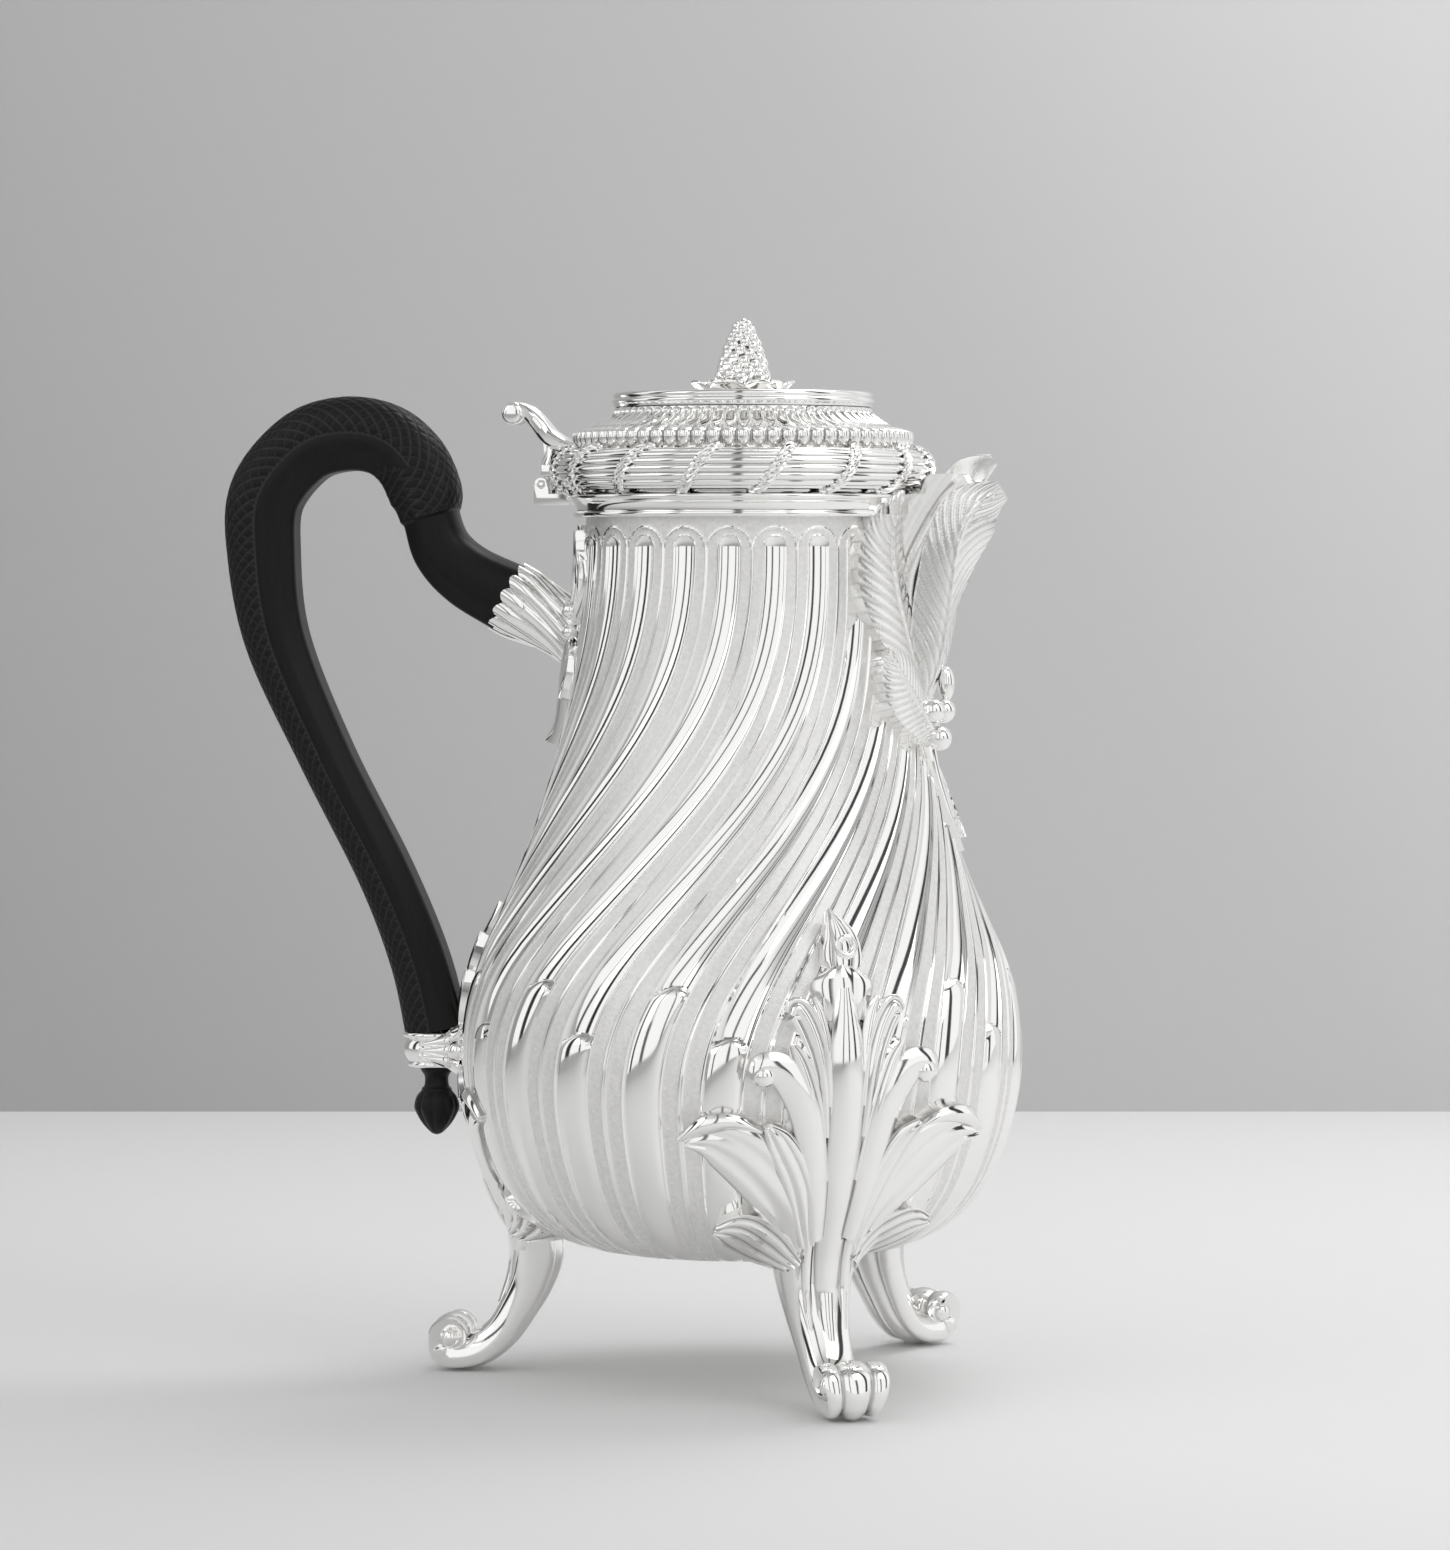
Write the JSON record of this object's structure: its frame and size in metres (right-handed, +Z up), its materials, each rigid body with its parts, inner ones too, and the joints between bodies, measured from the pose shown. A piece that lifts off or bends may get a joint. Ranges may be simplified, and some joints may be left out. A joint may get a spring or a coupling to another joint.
{
  "type": "coffee pot",
  "caption": "Pear-shaped silver coffee pot on leafy scroll feet, with twisted fluting, a hinged lid with a berry finial, an open leaf-wrapped spout lip and a carved black wood handle.",
  "frame": {"origin": "on the pot's axis, at the height of the table it stands on", "axes": "+Z up the pot's axis, +X towards the spout, -X towards the handle, +Y to the left of the spout"},
  "size_m": [0.2249, 0.1632, 0.2948],
  "materials": {
    "silver": "polished silver with a matted ground between the flutes",
    "ebony": "black wood, satin, with crossed carving"
  },
  "bodies": {
    "pot": {"body_shell": "silver", "rim_moulding": "silver", "hinge_body_leaf": "silver", "hinge_pin": "silver", "spout_lip": "silver", "spout_lip_leaf_left": "silver", "spout_lip_leaf_right": "silver", "spout_side_leaf_left": "silver", "spout_side_leaf_right": "silver", "spout_low_leaf_left": "silver", "spout_low_leaf_right": "silver", "spout_berries": "silver", "spout_stem": "silver", "upper_handle_mount": "silver", "upper_handle_socket": "silver", "upper_handle_pin": "silver", "lower_handle_mount": "silver", "lower_handle_ferrule": "silver", "lower_handle_pin": "silver", "handle": "ebony", "handle_drop": "ebony", "foot_leaf_left": "silver", "foot_leaf_right": "silver", "foot_leaf_handle": "silver", "foot_leg_left": "silver", "foot_leg_right": "silver", "foot_leg_handle": "silver"},
    "lid": {"lid_dome": "silver", "lid_bezel": "silver", "lid_reeded_band": "silver", "lid_top_ring": "silver", "finial_rosette": "silver", "finial_berry_cone": "silver", "finial_stud": "silver", "finial_nut": "silver", "hinge_lid_leaf": "silver", "thumb_piece": "silver"}
  },
  "joints": [
    {"name": "lid_hinge", "type": "hinge", "parent": "pot", "child": "lid", "pos_m": [-0.0556, 0, 0.2486], "axis": [0, -1, 0], "range_deg": [0, 90]}
  ]
}
